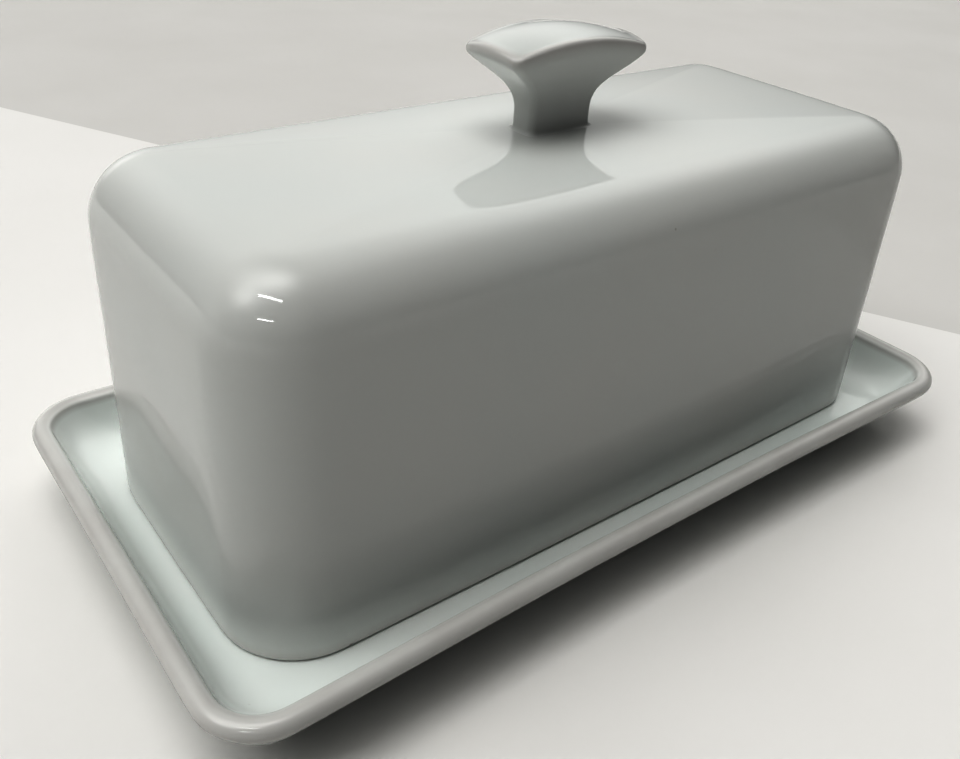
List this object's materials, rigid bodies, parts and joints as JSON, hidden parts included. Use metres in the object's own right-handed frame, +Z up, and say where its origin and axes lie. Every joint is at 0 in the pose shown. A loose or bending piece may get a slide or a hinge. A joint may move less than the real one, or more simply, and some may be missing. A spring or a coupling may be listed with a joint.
{
  "type": "butter dish",
  "caption": "Glazed white porcelain butter dish: a shallow rectangular footed tray under a deep loose box-shaped cover with a flared lifting knob.",
  "frame": {"origin": "on the table, under the middle of the tray", "axes": "+X along the dish's length, +Y across it, +Z up; the dish is the same seen from either long side and from either end"},
  "size_m": [0.1898, 0.1008, 0.0953],
  "materials": {
    "tray_porcelain": "white porcelain under a clear high-gloss glaze, unglazed where the foot ring stands",
    "cover_porcelain": "white porcelain under a clear high-gloss glaze",
    "knob_porcelain": "white porcelain under a clear high-gloss glaze, a little warmer along the upper edges where the glaze runs thin"
  },
  "bodies": {
    "tray": {"tray": "tray_porcelain"},
    "cover": {"cover": "cover_porcelain", "knob": "knob_porcelain"}
  },
  "joints": [
    {"name": "cover_lift", "type": "slide", "parent": "tray", "child": "cover", "axis": [0, 0, 1], "range_m": [0, 0.12]}
  ]
}
